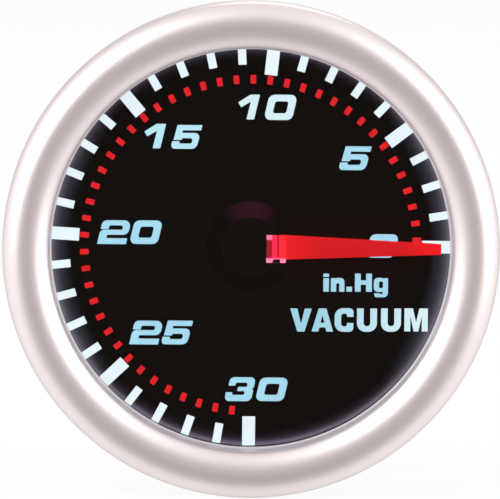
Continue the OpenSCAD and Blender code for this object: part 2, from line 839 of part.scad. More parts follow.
// A slotted cheese-head screw: its head sits on head_z and its shank points down
module slotted_screw(head_z, shank_l) {
    difference() {
        disc(small_head_r, small_head_h, head_z);
        translate([-small_head_r - cut_over, -screw_slot_w / 2,
            head_z + small_head_h - screw_slot_depth])
            cube([2 * (small_head_r + cut_over), screw_slot_w, screw_slot_depth + cut_over]);
    }
    disc(small_screw_r, shank_l + seat_gap, head_z - shank_l);
}

// Long screws through the front plate, the pillars and the back plate
module plate_screws() {
    head_z = front_plate_z + plate_t + seat_gap;
    color("silver") upright() for (place = pillar_places)
        translate([place[0], place[1], 0]) rotate([0, 0, 25])
            slotted_screw(head_z, head_z - back_plate_z);
}

// Short screws that hold the back plate on the pedestal
module movement_screws() {
    color("silver") upright() for (side = [-1, 1])
        translate([movement_screw_x, side * movement_screw_y, 0]) rotate([0, 0, 70])
            slotted_screw(plates_inside_z + seat_gap, plate_t + block_h / 2);
}

// Pins that stop the sector at each end of the pointer's sweep
module stop_pins() {
    color("silver") upright() for (side = [-1, 1])
        rotate_stop(side) disc(stop_r, plate_space + 2 * plate_t, back_plate_z);
}

// Pin on the front plate that holds the hairspring's outer end
module hairspring_stud() {
    low_z = hairspring_z - 0.2;
    color("goldenrod") upright() rotate([0, 0, hairspring_end_angle])
        translate([stud_pin_place, 0, 0]) disc(stud_pin_r, front_plate_z + plate_t - low_z, low_z);
}

// Flat spiral: the outline runs out along one side and back along the other
module hairspring() {
    count = hairspring_turns * hairspring_steps;
    first_angle = hairspring_end_angle - 360 * hairspring_turns;
    outline = [
        for (side = [-1, 1])
            for (i = [0:count])
                let (
                    n = side < 0 ? i : count - i,
                    a = first_angle + 360 * n / hairspring_steps,
                    r = hairspring_start_r + hairspring_pitch * n / hairspring_steps
                        + side * hairspring_t / 2
                )
                [r * cos(a), r * sin(a)]
    ];
    color("steelblue") upright() translate([0, 0, hairspring_z])
        linear_extrude(hairspring_h) polygon(outline);
}

// Brass collar that holds the hairspring's inner end on the arbor
module hairspring_collet() {
    color("goldenrod") upright() ring(collet_r, arbor_r + press_gap, collet_h, collet_z);
}

// Brass bush pressed on the arbor's front end
module pointer_bush() {
    color("goldenrod") upright() difference() {
        disc(bush_r, bush_h, pointer_hub_z);
        disc(arbor_r + press_gap, bush_h + 2 * cut_over, pointer_hub_z - cut_over);
    }
}

// Outline of the pointer's arm from a start radius out to its blunt tip
module arm_outline(start) {
    wide = pointer_root_w / 2;
    narrow = pointer_tip_w / 2;
    polygon([
        [start, -wide],
        [pointer_wide_end, -wide],
        [pointer_l, -narrow],
        [pointer_l, narrow],
        [pointer_wide_end, wide],
        [start, wide]
    ]);
}

// Clear pointer: a hub under the cap and a tapered arm on top of it
module pointer() {
    color("pink", 0.7) upright() rotate([0, 0, rest_lift]) {
        ring(pointer_hub_r, bush_r + press_gap, pointer_hub_t, pointer_hub_z);
        translate([0, 0, pointer_arm_z]) linear_extrude(pointer_t)
            arm_outline(cap_slot_start + cap_slot_gap);
        for (start = rib_starts)
            translate([start, -rib_reach_down, pointer_arm_z])
                cube([rib_w, rib_reach_down + rib_reach_up, pointer_t + rib_h]);
    }
}

// Red foil on the arm
module pointer_foil() {
    color("red") upright() rotate([0, 0, rest_lift])
        translate([0, 0, foil_z]) linear_extrude(foil_t) arm_outline(foil_start);
}

// Black conical cap with a slot that the arm passes through
module hub_cap() {
    slot_w = pointer_root_w + 2 * cap_slot_gap;
    rib_slot_w = rib_reach_down + rib_reach_up + 2 * cap_slot_gap;
    color("black") upright() rotate([0, 0, rest_lift]) difference() {
        translate([0, 0, cap_z])
            cylinder(r1 = cap_d / 2, r2 = cap_top_d / 2, h = cap_top_z - cap_z);
        disc(pointer_hub_r + cap_slot_gap, pointer_hub_t + cut_over + cap_slot_gap,
            pointer_hub_z - cut_over);
        disc(bush_r + cap_slot_gap, bush_h + cut_over + cap_slot_gap, pointer_hub_z - cut_over);
        translate([cap_slot_start, -slot_w / 2, pointer_arm_z - cap_slot_gap])
            cube([cap_d, slot_w, crest_h]);
        translate([cap_slot_start, -rib_reach_down - cap_slot_gap, pointer_arm_z - cap_slot_gap])
            cube([foil_start - cap_slot_start, rib_slot_w, crest_h]);
    }
}

// Steel washer under the socket nut
module socket_washer() {
    color("silver") upright()
        ring(washer_r, shank_r + seat_gap, washer_t, case_back_z - seat_gap - washer_t);
}

// Hexagon nut that draws the block against the case's floor
module socket_nut() {
    top_z = case_back_z - 2 * seat_gap - washer_t;
    color("goldenrod") upright() difference() {
        hexagon(socket_nut_w, nut_h, top_z - nut_h);
        disc(shank_r + seat_gap, nut_h + 2 * cut_over, top_z - nut_h - cut_over);
    }
}

// Barbed brass nipple screwed into the shank
module hose_nipple() {
    barbs = [
        for (i = [0:barb_count - 1])
            let (top = nipple_neck_z - i * barb_pitch)
            each [
                [barb_root_r, top],
                [barb_r, top],
                [barb_r, top - barb_land],
                [barb_root_r, top - barb_pitch]
            ]
    ];
    outline = concat(
        [[0, nipple_end_z], [0, nipple_hex_z], [barb_root_r, nipple_hex_z]],
        barbs
    );
    thread_r = shank_bore_r - press_gap;
    color("goldenrod") upright() difference() {
        union() {
            rotate_extrude() polygon(outline);
            hexagon(nipple_hex_w, nipple_hex_h, nipple_hex_z);
            disc(thread_r, nipple_thread_l, nipple_hex_z + nipple_hex_h - cut_over);
        }
        disc(bore_r, nipple_hex_z + nipple_hex_h + nipple_thread_l + cut_over - nipple_end_z,
            nipple_end_z - cut_over);
    }
}

// Two studs with flat heads inside the case
module studs() {
    head_z = case_floor_z + seat_gap;
    color("silver") upright() for (side = [-1, 1])
        translate([side * stud_x, 0, 0]) {
            disc(stud_head_r, stud_head_t, head_z);
            disc(stud_r, head_z - case_back_z + stud_l + seat_gap, case_back_z - stud_l);
        }
}

// Side view of the bent strap: two legs, two bends and the web
module strap_outline() {
    leg_top_z = -feet_z;
    bend_x = bracket_leg_x - bracket_bend_r;
    bend_z = bracket_web_z + bracket_bend_r;
    for (side = [-1, 1]) {
        left = side < 0 ? -bracket_leg_x : bracket_leg_x - bracket_t;
        translate([left, bend_z]) square([bracket_t, leg_top_z - bend_z]);
        translate([side * bend_x, bend_z]) intersection() {
            difference() {
                circle(bracket_bend_r);
                circle(bracket_bend_r - bracket_t);
            }
            translate([side < 0 ? -bracket_bend_r : 0, -bracket_bend_r])
                square(bracket_bend_r);
        }
    }
    translate([-bend_x, bracket_web_z]) square([2 * bend_x, bracket_t]);
}

// Bent steel bracket that clamps the gauge against the panel's rear face
module clamp_bracket() {
    deep = bracket_t + 2 * cut_over;
    color("silver") upright() difference() {
        union() {
            rotate([90, 0, 0]) translate([0, 0, -bracket_w / 2])
                linear_extrude(bracket_w) strap_outline();
            disc(bracket_ring_r, bracket_t, bracket_web_z);
        }
        disc(bracket_hole_r, deep, bracket_web_z - cut_over);
        for (side = [-1, 1]) {
            translate([side * stud_x, 0, 0]) disc(bracket_slot_r, deep, bracket_web_z - cut_over);
            for (edge = [-1, 1]) foot_corner(side, edge);
        }
    }
}

// Takes a round off one corner of one foot
module foot_corner(side, edge) {
    corner_z = -feet_z - foot_corner_r;
    corner_y = edge * (bracket_w / 2 - foot_corner_r);
    low_x = side < 0 ? -bracket_leg_x - cut_over : bracket_leg_x - bracket_t - cut_over;
    translate([low_x, corner_y, corner_z]) rotate([90, 0, 90])
        linear_extrude(bracket_t + 2 * cut_over) difference() {
            translate([edge < 0 ? -foot_corner_r - cut_over : 0, 0])
                square([foot_corner_r + cut_over, foot_corner_r + cut_over]);
            circle(foot_corner_r);
        }
}

// Split spring washers under the thumb nuts
module lock_washers() {
    color("silver") upright() for (side = [-1, 1])
        translate([side * stud_x, 0, 0]) difference() {
            ring(lock_washer_r, stud_r + bracket_t / 8, lock_washer_t, lock_washer_z);
            rotate([0, 0, 90 - side * 60])
                translate([0, -lock_washer_split_w / 2, lock_washer_z - cut_over])
                cube([lock_washer_r + cut_over, lock_washer_split_w, lock_washer_t + 2 * cut_over]);
        }
}

// Fluted nut with a plain collar towards the bracket
module thumb_nut(side) {
    color("goldenrod") upright() translate([side * stud_x, 0, 0]) difference() {
        union() {
            translate([0, 0, thumb_nut_z]) linear_extrude(thumb_nut_h - thumb_collar_h) difference() {
                circle(thumb_nut_r);
                for (i = [0:flute_count - 1])
                    rotate([0, 0, i * 360 / flute_count]) translate([thumb_nut_r, 0])
                        circle(flute_r, $fn = 4);
            }
            disc(thumb_collar_r, thumb_nut_h, thumb_nut_z);
        }
        disc(stud_r + thread_gap, thumb_nut_h + 2 * cut_over, thumb_nut_z - cut_over);
    }
}

module thumb_nut_left() {
    thumb_nut(-1);
}

module thumb_nut_right() {
    thumb_nut(1);
}

// Twist-lock lamp holder: barrel and lugs inside the case, flange and finger grip outside
module lamp_holder() {
    flange_z = case_back_z - seat_gap - lamp_flange_t;
    grip_z = flange_z - lamp_grip_h;
    color("dimgray") upright() translate([0, lamp_y, 0]) difference() {
        union() {
            disc(lamp_r, case_floor_z + lamp_inside_l - flange_z, flange_z);
            disc(lamp_flange_r, lamp_flange_t, flange_z);
            translate([-lamp_r - lamp_lug_reach, -lamp_lug_w / 2, case_floor_z + seat_gap])
                cube([2 * (lamp_r + lamp_lug_reach), lamp_lug_w, lamp_lug_t]);
            translate([-lamp_flange_r + lamp_flange_t, -lamp_grip_w / 2, grip_z])
                cube([2 * (lamp_flange_r - lamp_flange_t), lamp_grip_w, lamp_grip_h + seat_gap]);
        }
        disc(bulb_r + bulb_socket_gap, bulb_l, bulb_foot_z - seat_gap);
        for (side = [-1, 1])
            translate([side * terminal_x, 0, 0]) terminal_blade(terminal_in + seat_gap, seat_gap);
    }
}

// One blade, whose inner end reaches a depth into the grip
module terminal_blade(depth, grow) {
    grip_z = case_back_z - seat_gap - lamp_flange_t - lamp_grip_h;
    low_z = grip_z - terminal_l;
    width = terminal_t + 2 * grow;
    translate([-width / 2, -terminal_w / 2 - grow, low_z])
        cube([width, terminal_w + 2 * grow, terminal_l + depth]);
}

// Wedge bulb in the holder
module lamp_bulb() {
    dome_z = bulb_foot_z + bulb_l - bulb_r;
    color("lightyellow", 0.6) upright() translate([0, lamp_y, 0]) {
        disc(bulb_r, bulb_l - bulb_r, bulb_foot_z);
        translate([0, 0, dome_z]) sphere(bulb_r);
    }
}

// Two blades for push-on connectors
module lamp_terminals() {
    color("silver") upright() translate([0, lamp_y, 0]) for (side = [-1, 1])
        translate([side * terminal_x, 0, 0]) terminal_blade(terminal_in, 0);
}

bezel();
lens();
lens_gasket();
dial_spacer();
dial_plate();
tick_inlay();
dot_inlay();
light_guide();
reflector();
case();
socket_block();
socket_washer();
socket_nut();
hose_nipple();
studs();
clamp_bracket();
lock_washers();
thumb_nut_left();
thumb_nut_right();
lamp_holder();
lamp_bulb();
lamp_terminals();
back_plate();
front_plate();
pillars();
plate_screws();
movement_screws();
stop_pins();
hairspring_stud();
hairspring();
hairspring_collet();
pinion();
pinion_arbor();
sector_gear();
sector_arbor();
tail_pin();
link();
tube_tip();
tip_pin();
bourdon_tube();
pointer_bush();
pointer();
pointer_foil();
hub_cap();
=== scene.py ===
import math

import bmesh
import bpy
from mathutils import Matrix, Quaternion, Vector

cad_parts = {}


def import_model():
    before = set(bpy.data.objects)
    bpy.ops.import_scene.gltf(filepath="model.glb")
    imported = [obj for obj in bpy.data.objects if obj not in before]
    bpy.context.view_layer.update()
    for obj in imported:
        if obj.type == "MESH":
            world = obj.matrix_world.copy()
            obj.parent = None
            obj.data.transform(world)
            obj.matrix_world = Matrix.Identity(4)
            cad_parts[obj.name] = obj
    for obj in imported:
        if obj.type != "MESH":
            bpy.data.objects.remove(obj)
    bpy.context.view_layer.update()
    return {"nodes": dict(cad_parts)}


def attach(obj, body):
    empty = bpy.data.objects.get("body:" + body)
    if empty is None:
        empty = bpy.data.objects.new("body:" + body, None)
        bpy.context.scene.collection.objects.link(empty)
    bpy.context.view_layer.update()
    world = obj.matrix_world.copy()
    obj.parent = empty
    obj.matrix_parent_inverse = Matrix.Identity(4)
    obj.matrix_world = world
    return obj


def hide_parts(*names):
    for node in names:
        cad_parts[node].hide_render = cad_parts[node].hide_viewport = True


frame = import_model()
NODES = frame["nodes"]
MM = 0.001

# The dial in the photograph: pixels per mm, its middle, and how far it is turned.
PX_PER_MM = 8.28
DIAL_PX = (250.06, 245.70)
ROLL = math.radians(0.6)

# Lengths of the CAD that the scene refers to, in mm.
DIAL_FRONT = 4.25
LIP_RADIUS = 25.05
FOIL_END = 23.05

# The camera stands square on, a little above the gauge.
CAMERA_SIDE = math.radians(-0.5)
CAMERA_UP = math.radians(4.0)
CAMERA_REACH = 1.5
CAMERA_TARGET = Vector((-0.00012, -0.0026, -0.00002))
LENS_LENGTH = 894
SENSOR_WIDTH = 36


def aim_camera():
    data = bpy.data.cameras.new("camera")
    data.sensor_width = SENSOR_WIDTH
    data.lens = LENS_LENGTH
    data.clip_start = 0.05
    data.clip_end = 20
    cam = bpy.data.objects.new("camera", data)
    bpy.context.collection.objects.link(cam)
    cam.location = (
        CAMERA_REACH * math.sin(CAMERA_SIDE) * math.cos(CAMERA_UP),
        -CAMERA_REACH * math.cos(CAMERA_SIDE) * math.cos(CAMERA_UP),
        CAMERA_REACH * math.sin(CAMERA_UP),
    )
    look = (CAMERA_TARGET - cam.location).to_track_quat("-Z", "Y")
    cam.rotation_mode = "QUATERNION"
    cam.rotation_quaternion = look @ Quaternion((0, 0, 1), ROLL)
    bpy.context.scene.camera = cam


aim_camera()
bpy.context.scene.view_settings.view_transform = "Standard"


# Small helpers for node trees

# How high a surface's grain stands, in metres.
GRAIN_HEIGHT = 0.00002


class Tree:
    """Adds nodes to one material and links them."""

    def __init__(self, name):
        self.mat = bpy.data.materials.new(name)
        self.mat.use_nodes = True
        self.nodes = self.mat.node_tree.nodes
        self.links = self.mat.node_tree.links
        self.bsdf = self.nodes["Principled BSDF"]
        self.out = self.nodes["Material Output"]
        self.coord = self.nodes.new("ShaderNodeTexCoord").outputs["Object"]

    def add(self, kind, **values):
        node = self.nodes.new("ShaderNode" + kind)
        for key, value in values.items():
            if hasattr(node, key):
                setattr(node, key, value)
            else:
                node.inputs[key.replace("_", " ")].default_value = value
        return node

    def link(self, a, b):
        self.links.new(a, b)

    def set(self, **values):
        for key, value in values.items():
            self.bsdf.inputs[key.replace("_", " ")].default_value = value

    def scaled(self, scale):
        """The object's own coordinates, stretched."""
        node = self.add("Mapping")
        node.inputs["Scale"].default_value = scale
        self.link(self.coord, node.inputs["Vector"])
        return node.outputs["Vector"]

    def noise(self, scale, detail=4.0, vector=None):
        node = self.add("TexNoise", Scale=scale, Detail=detail, Roughness=0.6)
        self.link(vector or self.coord, node.inputs["Vector"])
        return node.outputs["Fac"]

    def ramp(self, source, stops):
        """A factor turned into the colours of the stops, which are places and colours."""
        node = self.add("ValToRGB")
        marks = node.color_ramp.elements
        while len(marks) < len(stops):
            marks.new(0.5)
        for mark, (place, colour) in zip(marks, stops):
            mark.position = place
            mark.color = (*colour, 1)
        self.link(source, node.inputs["Fac"])
        return node.outputs["Color"]

    def span(self, source, low, high):
        """A factor of 0 to 1 turned into low to high."""
        node = self.add("MapRange")
        node.inputs["To Min"].default_value = low
        node.inputs["To Max"].default_value = high
        self.link(source, node.inputs["Value"])
        return node.outputs["Result"]

    def axis(self, name):
        """One of the object's own coordinates: X, Y or Z."""
        node = self.add("SeparateXYZ")
        self.link(self.coord, node.inputs[0])
        return node.outputs[name]

    def mixed(self, factor, first, second):
        """A colour between first and second, each a socket or a colour."""
        node = self.add("Mix", data_type="RGBA")
        self.link(factor, node.inputs["Factor"])
        for place, colour in ((6, first), (7, second)):
            if isinstance(colour, tuple):
                node.inputs[place].default_value = (*colour, 1)
            else:
                self.link(colour, node.inputs[place])
        return node.outputs[2]

    def math(self, kind, *values):
        node = self.add("Math", operation=kind)
        for i, v in enumerate(values):
            if isinstance(v, (int, float)):
                node.inputs[i].default_value = v
            else:
                self.link(v, node.inputs[i])
        return node.outputs["Value"]

    def paint(self, colour):
        self.link(colour, self.bsdf.inputs["Base Color"])

    def roughen(self, amount):
        self.link(amount, self.bsdf.inputs["Roughness"])

    def glow(self, colour):
        """The surface's own light."""
        self.link(colour, self.bsdf.inputs["Emission Color"])
        self.set(Emission_Strength=1.0)

    def bump(self, source, strength, distance=GRAIN_HEIGHT):
        node = self.add("Bump", Strength=strength, Distance=distance)
        self.link(source, node.inputs["Height"])
        self.link(node.outputs["Normal"], self.bsdf.inputs["Normal"])


def lin(r, g, b):
    """A display colour of 0 to 255 in linear light."""
    out = []
    for v in (r, g, b):
        v = v / 255
        out.append(v / 12.92 if v <= 0.04045 else ((v + 0.055) / 1.055) ** 2.4)
    return tuple(out)


def metal(name, colour, rough, dark=0.82, grain=(900, 900, 900), spot=60):
    """Metal with a fine grain, uneven polish and a little tarnish."""
    t = Tree(name)
    low = tuple(c * dark for c in colour)
    t.paint(t.ramp(t.noise(spot, 5), [(0.3, low), (0.62, colour)]))
    fine = t.noise(1.0, 3, t.scaled(grain))
    t.roughen(t.span(fine, rough * 0.75, rough * 1.3))
    t.set(Metallic=1.0)
    t.bump(fine, 0.15)
    return t.mat


def turned(name, colour, rough):
    """Lathe-turned metal: fine rings round the gauge's own axis."""
    t = Tree(name)
    low = tuple(c * 0.86 for c in colour)
    t.paint(t.ramp(t.noise(90, 5), [(0.32, low), (0.6, colour)]))
    rings = t.noise(1.0, 2, t.scaled((500, 9000, 500)))
    t.roughen(t.span(rings, rough * 0.7, rough * 1.4))
    t.set(Metallic=1.0)
    t.bump(rings, 0.07)
    return t.mat


def plastic(name, colour, rough, pale=1.5, grain=2500):
    """Moulded plastic with a fine texture and slight shine differences."""
    t = Tree(name)
    high = tuple(min(1, c * pale) for c in colour)
    t.paint(t.ramp(t.noise(140, 4), [(0.35, colour), (0.7, high)]))
    fine = t.noise(grain, 2)
    t.roughen(t.span(fine, rough * 0.8, rough * 1.2))
    t.bump(fine, 0.25)
    return t.mat


def translucent(name):
    """The dull surface of plastic that is lit from behind."""
    t = Tree(name)
    t.set(Base_Color=(0.02, 0.02, 0.02, 1), Roughness=0.5, Specular_IOR_Level=0.1)
    return t


def lit(name, colour, uneven, scale):
    """Translucent plastic that glows a little unevenly."""
    t = translucent(name)
    low = tuple(c * (1 - uneven) for c in colour)
    high = tuple(c * (1 + uneven) for c in colour)
    t.glow(t.ramp(t.noise(scale, 3), [(0.3, low), (0.7, high)]))
    return t.mat


# What the smoked lens lets through.
LENS_PASSES = 0.6


def behind_lens(r, g, b):
    """The light that a lit mark needs, so that it shows as this display colour through the lens."""
    return tuple(c / LENS_PASSES for c in lin(r, g, b))


# Materials of the nodes

def satin_bezel(name, base, shine, glow=None):
    """Bead-blasted and plated metal. A glow stands for the lit scale's light on it."""
    t = Tree(name)
    low = tuple(c * 0.96 for c in base)
    t.paint(t.ramp(t.noise(45, 4), [(0.3, low), (0.7, base)]))
    fine = t.noise(5200, 2)
    t.roughen(t.span(fine, 0.34, 0.44))
    t.set(Metallic=shine)
    if glow:
        t.set(Emission_Color=(*glow, 1), Emission_Strength=1.0)
    t.bump(fine, 0.30, 0.000012)
    return t.mat


def smoked_lens():
    t = Tree("smoked_lens_material")
    tint = (LENS_PASSES, LENS_PASSES, LENS_PASSES, 1)
    t.set(Base_Color=tint, Transmission_Weight=1.0, IOR=1.1)
    t.roughen(t.span(t.noise(70, 3), 0.0, 0.012))
    return t.mat


def dial_face():
    """Black face that glows faintly all over, with painted light at its rim, which reaches further in at the
    left and the right.
    """
    t = Tree("dial_face")
    fine = t.noise(3000, 2)
    t.set(Base_Color=(0.006, 0.0045, 0.004, 1), Specular_IOR_Level=0.06)
    t.roughen(t.span(fine, 0.55, 0.75))
    t.bump(fine, 0.2, 0.00001)
    flat = t.add("VectorMath", operation="MULTIPLY")
    flat.inputs[1].default_value = (1, 0, 1)
    t.link(t.coord, flat.inputs[0])
    size = t.add("VectorMath", operation="LENGTH")
    t.link(flat.outputs["Vector"], size.inputs[0])
    across = 1 / (LIP_RADIUS * MM)
    reach = t.math("MULTIPLY", size.outputs["Value"], across)
    base = behind_lens(8, 4, 2)
    # Painted light at the rim: the wide ramp at the left and the right, the slim one elsewhere.
    wide = t.ramp(reach, [
        (0.0, base), (0.868, base), (0.884, behind_lens(20, 19, 23)),
        (0.911, behind_lens(40, 39, 46)), (0.926, behind_lens(50, 49, 58)),
        (0.944, behind_lens(72, 69, 80)), (0.960, behind_lens(102, 98, 110)),
    ])
    slim = t.ramp(reach, [
        (0.0, base), (0.900, base), (0.916, behind_lens(17, 14, 18)),
        (0.933, behind_lens(31, 27, 33)), (0.948, behind_lens(59, 52, 64)),
        (0.962, behind_lens(108, 101, 116)),
    ])
    aside = t.math("MULTIPLY", t.math("ABSOLUTE", t.axis("X")), across)
    share = t.ramp(aside, [(0.66, (0, 0, 0)), (0.82, (1, 1, 1))])
    t.glow(t.mixed(share, slim, wide))
    return t.mat


def foil_face():
    """Red foil, brightest at its root and its tip."""
    t = Tree("foil_face")
    t.set(Base_Color=(0.08, 0.002, 0.003, 1), Roughness=0.5, Specular_IOR_Level=0.1)
    along = t.math("MULTIPLY", t.axis("X"), 1 / (FOIL_END * MM))
    root = behind_lens(234, 30, 30)
    mid = behind_lens(208, 24, 30)
    tip = behind_lens(240, 26, 30)
    t.glow(t.ramp(along, [(0.15, root), (0.35, mid), (0.78, mid), (0.98, tip)]))
    return t.mat


# How far the normal of the cap's bevel leans outward: 0 faces the reader and 1 faces aside. It places the
# painted highlight on the upper bevel.
CAP_SLOPE = 0.78


def hub_cap_face():
    """Black moulded cap that glows faintly, with a painted purple highlight on its upper bevel."""
    t = Tree("cap_moulding")
    fine = t.noise(3500, 2)
    t.set(Base_Color=(0.006, 0.0045, 0.004, 1), Specular_IOR_Level=0.06)
    t.roughen(t.span(fine, 0.5, 0.7))
    t.bump(fine, 0.15, 0.00001)
    split = t.add("SeparateXYZ")
    t.link(t.add("TexCoord").outputs["Normal"], split.inputs[0])
    base = behind_lens(7, 4, 2)
    purple = behind_lens(46, 14, 26)
    # Painted highlight: the glow turns purple where the bevel's normal leans upward.
    stops = [(0.0, base), (CAP_SLOPE * 0.76, base), (CAP_SLOPE * 1.03, purple)]
    t.glow(t.ramp(split.outputs["Z"], stops))
    return t.mat


def pointer_arm():
    """Clear red moulding that carries the light: its root ribs end in painted pink glints."""
    t = Tree("arm_moulding")
    flow = t.noise(260, 4)
    t.set(Base_Color=(0.75, 0.05, 0.10, 1), Transmission_Weight=0.7, IOR=1.3)
    t.roughen(t.span(flow, 0.10, 0.22))
    t.bump(flow, 0.1)
    root_span = 1 / (5 * MM)
    along = t.math("MULTIPLY", t.axis("X"), root_span)
    rib = behind_lens(80, 5, 20)
    block = behind_lens(215, 35, 70)
    gap = behind_lens(60, 5, 14)
    red = behind_lens(236, 38, 44)
    dark_red = behind_lens(170, 10, 20)
    body = t.ramp(along, [
        (0.0, rib), (0.51, rib), (0.525, block), (0.635, block),
        (0.65, gap), (0.675, gap), (0.69, red), (1.0, dark_red),
    ])
    # Painted highlights: pink glints at the lower and upper ends of the root ribs.
    across = t.math("MULTIPLY_ADD", t.axis("Z"), root_span, 0.5)
    low_end = t.ramp(across, [(0.0, (1, 1, 1)), (0.20, (1, 1, 1)), (0.24, (0, 0, 0))])
    high_end = t.ramp(across, [(0.66, (0, 0, 0)), (0.69, (0.75, 0.75, 0.75))])
    near = t.ramp(along, [(0.51, (1, 1, 1)), (0.525, (0, 0, 0))])
    root = t.ramp(along, [(0.88, (1, 1, 1)), (0.90, (0, 0, 0))])
    glint_ends = t.math("ADD", t.math("MULTIPLY", low_end, root), t.math("MULTIPLY", high_end, near))
    pink = behind_lens(255, 135, 168)
    t.glow(t.mixed(glint_ends, body, pink))
    return t.mat


def clear(name, colour, rough):
    """Clear moulding with faint flow marks."""
    t = Tree(name)
    t.set(Base_Color=(*colour, 1), Transmission_Weight=1.0, IOR=1.49)
    flow = t.noise(220, 4)
    t.roughen(t.span(flow, rough * 0.6, rough * 1.6))
    t.bump(flow, 0.1)
    return t.mat


BRASS = (0.72, 0.50, 0.22)
STEEL = (0.60, 0.60, 0.59)
brass_turned = turned("turned_brass", BRASS, 0.26)
brass_sheet = metal("brass_sheet", (0.74, 0.53, 0.25), 0.30, grain=(300, 300, 4000))
zinc_case = metal(
    "zinc_plated_steel", (0.64, 0.63, 0.60), 0.34, dark=0.91, grain=(700, 2600, 700), spot=45
)
zinc_bright = metal("bright_zinc", STEEL, 0.24, dark=0.85, grain=(3000, 600, 3000))
pin_steel = turned("ground_steel", (0.62, 0.62, 0.62), 0.18)
strip_bronze = metal("spring_bronze_strip", (0.66, 0.40, 0.21), 0.28, grain=(400, 5000, 400))
blue_spring = metal("blued_spring", (0.10, 0.14, 0.30), 0.22, dark=0.6)
rubber = plastic("gasket_rubber", (0.012, 0.012, 0.012), 0.7, grain=1800)
black = plastic("black_moulding", (0.012, 0.011, 0.011), 0.42)
white = plastic("white_moulding", (0.72, 0.72, 0.69), 0.45, pale=1.1)
white_lit = lit("lit_white", behind_lens(232, 247, 253), uneven=0.05, scale=160)
red_lit = lit("lit_red", behind_lens(222, 27, 33), uneven=0.14, scale=500)
guide_clear = clear("guide_moulding", (0.92, 0.94, 0.95), 0.08)
bulb_clear = clear("bulb_glass_material", (0.97, 0.95, 0.90), 0.02)
satin_metal = satin_bezel("satin_metal", (0.91, 0.825, 0.818), 0.95)
# The well is the bezel's metal as a darker, duller copy, which is painted shade, with a painted glow for the
# lit scale's light on it.
well_shade_and_glow = satin_bezel("well_shade_and_glow", (0.60, 0.56, 0.575), 0.1, glow=(0.11, 0.10, 0.12))

MATERIALS = {
    satin_metal: ["bezel"],
    smoked_lens(): ["lens"],
    rubber: ["lens_gasket"],
    black: ["dial_spacer", "lamp_holder"],
    dial_face(): ["dial_plate"],
    white_lit: ["tick_inlay"],
    red_lit: ["dot_inlay"],
    guide_clear: ["light_guide"],
    white: ["reflector"],
    zinc_case: ["case"],
    brass_turned: ["socket_block", "socket_nut", "hose_nipple", "thumb_nut_left", "thumb_nut_right",
                   "pillars", "hairspring_stud", "hairspring_collet", "pointer_bush", "link", "tube_tip"],
    brass_sheet: ["back_plate", "front_plate", "sector_gear"],
    zinc_bright: ["clamp_bracket", "lock_washers", "socket_washer", "studs", "lamp_terminals"],
    pin_steel: ["plate_screws", "movement_screws", "stop_pins", "pinion", "pinion_arbor", "sector_arbor",
                "tail_pin", "tip_pin"],
    strip_bronze: ["bourdon_tube"],
    blue_spring: ["hairspring"],
    pointer_arm(): ["pointer"],
    foil_face(): ["pointer_foil"],
    hub_cap_face(): ["hub_cap"],
    bulb_clear: ["lamp_bulb"],
}
for mat, names in MATERIALS.items():
    for name in names:
        slots = NODES[name].data.materials
        if len(slots) == 0:
            slots.append(mat)
        for i in range(len(slots)):
            slots[i] = mat


# Meshes of the scene's own pieces

# Steps of a full turn of the ring, and of each arc in its section.
RING_STEPS = 288
ARC_STEPS = 40


def new_object(name, mesh, mat):
    obj = bpy.data.objects.new(name, mesh)
    bpy.context.collection.objects.link(obj)
    mesh.materials.clear()
    mesh.materials.append(mat)
    return obj


def arc(cx, cz, rx, rz, start, stop):
    """Points of an ellipse's arc, in degrees, on the radius and height axes."""
    out = []
    for i in range(ARC_STEPS + 1):
        a = math.radians(start + (stop - start) * i / ARC_STEPS)
        out.append((cx + rx * math.cos(a), cz + rz * math.sin(a)))
    return out


def turned_ring(name, section, mat, sharp, other, other_from):
    """A ring turned from a closed section of (radius, height) in mm.
    The corners in sharp stay crisp, and from corner other_from on the faces take the other material."""
    verts = []
    for i in range(RING_STEPS):
        a = 2 * math.pi * i / RING_STEPS
        for r, z in section:
            verts.append((r * math.cos(a) * MM, -z * MM, r * math.sin(a) * MM))
    n = len(section)
    faces = []
    for i in range(RING_STEPS):
        j = (i + 1) % RING_STEPS
        for k in range(n):
            m = (k + 1) % n
            faces.append((i * n + k, i * n + m, j * n + m, j * n + k))
    mesh = bpy.data.meshes.new(name)
    mesh.from_pydata(verts, [], faces)
    mesh.update()
    work = bmesh.new()
    work.from_mesh(mesh)
    bmesh.ops.recalc_face_normals(work, faces=work.faces)
    for face in work.faces:
        face.smooth = True
    for edge in work.edges:
        a, b = (v.index for v in edge.verts)
        if a % n == b % n and a % n in sharp:
            edge.smooth = False
    work.to_mesh(mesh)
    work.free()
    obj = new_object(name, mesh, mat)
    mesh.materials.append(other)
    for face in mesh.polygons:
        if face.index % n >= other_from:
            face.material_index = 1
    return obj


def bezel_ring():
    """The bezel: a seat and a skirt behind, a rounded crest, and a well down to the lens."""
    inside = [
        (24.08, 0.3), (25.05, 0.3), (25.05, 0.85), (28.3, 0.85), (28.3, 0.0), (29.85, 0.0), (30.0, 0.15),
    ]
    outside = arc(27.2, 3.5, 2.8, 2.5, 0, 90)
    slope = arc(27.2, 3.4, 3.3, 2.6, 90, 147)[1:]
    well = [
        (24.33, 4.45), (24.32, 4.2), (24.30, 1.25), (24.27, 1.0), (24.2, 0.92), (24.12, 0.9), (24.08, 0.84),
    ]
    section = inside + outside + slope + well
    crisp = set(range(len(inside))) | {len(section) - 1}
    well_from = len(section) - len(well) - 1
    return turned_ring("bezel_ring", section, satin_metal, crisp, well_shade_and_glow, well_from)


ring = bezel_ring()
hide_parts("bezel")
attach(ring, "housing")


# The pointer's three outer pieces stand a little lower than in the CAD, and its arm tapers less.
POINTER_DROP = math.radians(1.0)
TAPER_FROM = 4 * MM
TAPER_TO = 23 * MM
TIP_WIDER = 0.26


